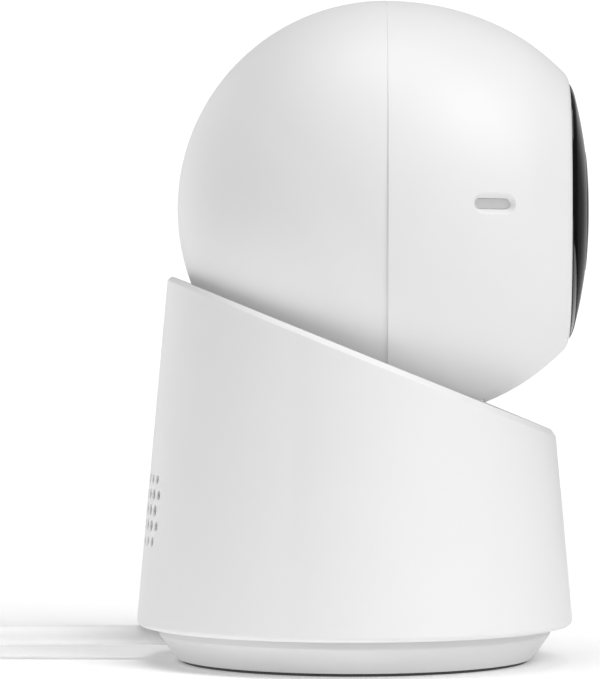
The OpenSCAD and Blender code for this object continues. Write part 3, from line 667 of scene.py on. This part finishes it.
def stem_slot():
    """The opening in the head's underside for the stem, as a closed shape."""
    rings = []
    steps = 48
    low, high = HEAD_R - 5, HEAD_R + 7
    for k in range(steps + 1):
        a = math.radians(SLOT_START + SLOT_SPAN * k / steps)
        rings.append([(HEAD.x + r * math.cos(a), y, HEAD.z + r * math.sin(a))
                      for r, y in ((low, -SLOT_Y), (high, -SLOT_Y), (high, SLOT_Y), (low, SLOT_Y))])
    return caps(loft(rings))


def arc_points(a, b, start, end, steps):
    """(radius, distance) along an ellipse, from one angle from the equator to another."""
    turn = [math.radians(start + (end - start) * k / steps) for k in range(steps + 1)]
    return [(b * math.cos(t), a * math.sin(t)) for t in turn]


# Rear shell: a hollow half ball with a softened edge at the seam
rear_outer = arc_points(HEAD_R, HEAD_R, -90, -1.0, 64)
seam_z = REAR_BACK - SEAM_GAP
rear_inner = arc_points(HEAD_R - HEAD_WALL, HEAD_R - HEAD_WALL, -0.2, -90, 40)
seam_rear = rounded([(rear_outer[-1][0], rear_outer[-1][1], 0), (HEAD_R, seam_z, SEAM_ROUND),
                     (HEAD_R - HEAD_WALL, seam_z, 0)], 5)
rear_profile = [(0, -HEAD_R)] + rear_outer[1:-1] + seam_rear + rear_inner[1:-1] + [(0, -HEAD_R + HEAD_WALL)]
rear = mesh_from(lathe(rear_profile, HEAD_SEGMENTS), "head_rear_cover", forwards(REAR))
cut(rear, [stem_slot()])
finished(rear, "head", "white_plastic", ["rear_shell"], sharp=28)

# Front shell: an ellipse to the rounded lip, with a ledge for the face
front_end = math.degrees(math.asin(LIP_START / FRONT_LEN))
front_outer = arc_points(FRONT_LEN, FRONT_R, 1.0, front_end, 72)
inner_end = math.degrees(math.asin((ledge_x - LEDGE_T) / (FRONT_LEN - HEAD_WALL)))
front_inner = arc_points(FRONT_LEN - HEAD_WALL, FRONT_R - HEAD_WALL, inner_end, 0, 40)
seam_front = rounded([(FRONT_R - HEAD_WALL, 0, 0), (FRONT_R, 0, SEAM_ROUND),
                      (front_outer[0][0], front_outer[0][1], 0)], 5)
LIP_STEPS = 10
lip = []
for k in range(1, LIP_STEPS + 1):
    a = (math.pi / 2 - lip_angle) * (1 - k / LIP_STEPS)
    lip.append((face_r + LIP_R * math.sin(a), lip_x + LIP_R * math.cos(a)))
ledge = [(face_r, ledge_x), (ledge_r, ledge_x), (ledge_r, ledge_x - LEDGE_T)]
front_profile = seam_front + front_outer[1:] + lip + ledge + front_inner[:-1]
front = mesh_from(face_bow(lathe(front_profile, HEAD_SEGMENTS, closed=True)), "head_front_cover",
                  forwards(FRONT))

BUTTON_X = 17.6
BUTTON_Z = 0.1
button_y = -FRONT_R * math.sqrt(1 - (BUTTON_X / FRONT_LEN) ** 2 - (BUTTON_Z / FRONT_R) ** 2)
button_turn = math.atan((BUTTON_X / FRONT_LEN ** 2) / (-button_y / FRONT_R ** 2))
at_button = (Matrix.Translation(FRONT + Vector((BUTTON_X, button_y, BUTTON_Z)))
             @ Matrix.Rotation(button_turn, 4, "Z") @ Matrix.Rotation(math.radians(90), 4, "X"))


def stadium(length, width, height):
    """A ring of points round a bar with round ends."""
    turns = 16
    half = (length - width) / 2
    ring = []
    for side in (1, -1):
        for k in range(turns + 1):
            a = math.radians(-90 + 180 * k / turns) + (0 if side > 0 else math.pi)
            ring.append((side * half + width / 2 * math.cos(a), width / 2 * math.sin(a), height))
    return ring


# The recess round the button: its sides slope in from the shell and end at a straight hole
MOUTH = (8.0, 3.75)
HOLE = (6.36, 1.76)
RECESS_DEPTH = 1.15
RECESS_STEPS = 4
RECESS_CURVE = 1.25
ABOVE = 0.8         # how far the cutter stands out of the shell
recess_rings = [stadium(MOUTH[0] + ABOVE, MOUTH[1] + ABOVE, ABOVE)]
for k in range(RECESS_STEPS + 1):
    t = k / RECESS_STEPS
    inwards = 1 - (1 - t) ** RECESS_CURVE
    recess_rings.append(stadium(MOUTH[0] - (MOUTH[0] - HOLE[0]) * inwards,
                                MOUTH[1] - (MOUTH[1] - HOLE[1]) * inwards, -RECESS_DEPTH * t))
recess_rings.append(stadium(*HOLE, -4))
recess = caps(loft(recess_rings))
bmesh.ops.transform(recess, matrix=at_button, verts=recess.verts)
cut(front, [stem_slot()])
cut(front, [recess])
finished(front, "head", "white_plastic", ["front_shell"], sharp=28)

# The button itself: a flange under the shell, and a cap with a softened edge
CAP_FLANGE = (7.8, 3.6)
CAP = (6.3, 1.7)
cap_rings = [stadium(*CAP_FLANGE, -3.4), stadium(*CAP_FLANGE, -2.6), stadium(*CAP, -2.6),
             stadium(*CAP, -1.3), stadium(6.22, 1.62, -1.22), stadium(5.9, 1.3, -1.2)]
button = mesh_from(caps(loft(cap_rings)), "side_button_cap", at_button)
finished(button, "button", "button_grey", ["side_button"])

# The face: a black dome with a softened edge, and the window over the lens
DOME_R = 88
DOME_APEX = 35.14
DOME_T = 1.5
COVER_RIM = 1.6
EDGE_START = 20.6   # the radius from which the dome falls away a little more
EDGE_FALL = 0.3
WINDOW_R = 10.75
WINDOW_CURVE = 100
WINDOW_APEX = 35.12
WINDOW_T = 2.3


def dome(radius, q, apex=DOME_APEX):
    """How far in front of the head's centre a dome stands, at a distance q from its axis."""
    return apex - radius + math.sqrt(radius * radius - q * q)


cover_outer = []
for k in range(41):
    q = WINDOW_R + (cover_r - WINDOW_R) * k / 40
    fall = max(0, (q - EDGE_START) / (cover_r - EDGE_START))
    cover_outer.append((q, dome(DOME_R, q) - EDGE_FALL * fall * fall))
rim_r = cover_r - COVER_RIM
cover_edge = [(cover_r, ledge_x), (rim_r, ledge_x)]
inner_radii = [rim_r + (WINDOW_R - rim_r) * k / 16 for k in range(17)]
cover_inner = [(q, dome(DOME_R, q) - DOME_T) for q in inner_radii]
face = mesh_from(face_bow(lathe(cover_outer + cover_edge + cover_inner, HEAD_SEGMENTS, closed=True)),
                 "face_dome", forwards(FRONT))
finished(face, "head", "black_gloss", ["face_cover"], sharp=30)

EDGE_ROUND = 0.1
window_edge = WINDOW_R - 0.03
window_radii = [(window_edge - EDGE_ROUND) * k / 20 for k in range(21)]
window_top = [(q, dome(WINDOW_CURVE, q, WINDOW_APEX)) for q in window_radii]
edge_height = window_top[-1][1]
for k in range(1, 7):
    a = math.radians(15 * k)
    window_top.append((window_edge - EDGE_ROUND * (1 - math.sin(a)),
                       edge_height - EDGE_ROUND * (1 - math.cos(a))))
window_low = [(window_edge * (1 - k / 12), WINDOW_APEX - WINDOW_T) for k in range(13)]
window = mesh_from(face_bow(lathe(window_top + window_low, 128)), "lens_cover_glass", forwards(FRONT))
finished(window, "head", "window_glass", ["lens_window"])


# ---- studio: a pale floor and soft light ----

AMBIENT = 0.305
BACKDROP = 0.6
SEEN_WHITE = 1.1    # what the camera itself sees behind everything
FLOOR_R = 650
FLOOR_GLOW = 0.10

floor_bm = bmesh.new()
bmesh.ops.create_circle(floor_bm, cap_ends=True, radius=FLOOR_R, segments=96)
floor = mesh_from(floor_bm, "floor")
floor_material = bpy.data.materials.new("floor")
floor_material.use_nodes = True
floor_shader = floor_material.node_tree.nodes["Principled BSDF"]
floor_shader.inputs["Base Color"].default_value = (0.94, 0.94, 0.94, 1)
floor_shader.inputs["Roughness"].default_value = 0.9
floor_shader.inputs["Emission Color"].default_value = (1, 1, 1, 1)
floor_shader.inputs["Emission Strength"].default_value = FLOOR_GLOW
floor.data.materials.append(floor_material)
floor.location.z = -0.02 * MM

world = bpy.data.worlds.new("studio")
scene.world = world
world.use_nodes = True
world_tree = world.node_tree
background = world_tree.nodes["Background"]
background.inputs["Color"].default_value = (1, 1, 1, 1)
# The world is darker on the side that the face looks to and below the table, and brighter behind the object
toward = world_tree.nodes.new("ShaderNodeTexCoord")


def world_ramp(direction, start, end, at_start, at_end):
    """A strength that changes with how far a ray points in a direction."""
    facing = world_tree.nodes.new("ShaderNodeVectorMath")
    facing.operation = "DOT_PRODUCT"
    facing.inputs[1].default_value = direction
    ramp = world_tree.nodes.new("ShaderNodeMapRange")
    ramp.inputs["From Min"].default_value = start
    ramp.inputs["From Max"].default_value = end
    ramp.inputs["To Min"].default_value = at_start
    ramp.inputs["To Max"].default_value = at_end
    world_tree.links.new(toward.outputs["Generated"], facing.inputs[0])
    world_tree.links.new(facing.outputs["Value"], ramp.inputs["Value"])
    return ramp.outputs["Result"]


def world_math(operation, first, second):
    """Two strengths put together."""
    node = world_tree.nodes.new("ShaderNodeMath")
    node.operation = operation
    world_tree.links.new(first, node.inputs[0])
    world_tree.links.new(second, node.inputs[1])
    return node.outputs["Value"]


room = world_ramp((0.96, 0.29, 0), 0.15, 0.8, AMBIENT, AMBIENT * 0.1)
backdrop = world_ramp((-0.2, 0.98, 0), 0.78, 0.97, 0, BACKDROP)
above_table = world_ramp((0, 0, 1), -0.05, 0.02, 0.3, 1)
strength = world_math("MULTIPLY", world_math("MAXIMUM", room, backdrop), above_table)
world_tree.links.new(strength, background.inputs["Strength"])
seen = world_tree.nodes.new("ShaderNodeBackground")
seen.inputs["Color"].default_value = (1, 1, 1, 1)
seen.inputs["Strength"].default_value = SEEN_WHITE
rays = world_tree.nodes.new("ShaderNodeLightPath")
choice = world_tree.nodes.new("ShaderNodeMixShader")
world_tree.links.new(rays.outputs["Is Camera Ray"], choice.inputs["Fac"])
world_tree.links.new(background.outputs["Background"], choice.inputs[1])
world_tree.links.new(seen.outputs["Background"], choice.inputs[2])
world_tree.links.new(choice.outputs["Shader"], world_tree.nodes["World Output"].inputs["Surface"])


def soft_light(name, azimuth, elevation, width, strength, shadow=True):
    """A distant soft light, whose strength is what a white card facing it shows.

    Azimuth 0 is the camera's side and 90 is +X.
    """
    data = bpy.data.lights.new(name, "SUN")
    data.angle = math.radians(width)
    data.energy = strength * math.pi
    data.use_shadow = shadow
    light = bpy.data.objects.new(name, data)
    across = math.radians(azimuth)
    up = math.radians(elevation)
    out = Vector((math.sin(across) * math.cos(up), -math.cos(across) * math.cos(up), math.sin(up)))
    light.rotation_mode = "QUATERNION"
    light.rotation_quaternion = out.to_track_quat("Z", "Y")
    scene.collection.objects.link(light)


soft_light("key", 52, 48, 36, 0.48)
soft_light("front_right", 45, 8, 60, 0.22)
soft_light("back_left", -135, 8, 50, 0.18)
soft_light("top", -40, 82, 40, 0.33)
# Light thrown back from the table, which reaches into the gap under the head
soft_light("low_left", -80, -30, 40, 0.16, shadow=False)
soft_light("low", 0, -80, 60, 0.05, shadow=False)

scene.view_settings.view_transform = "Standard"
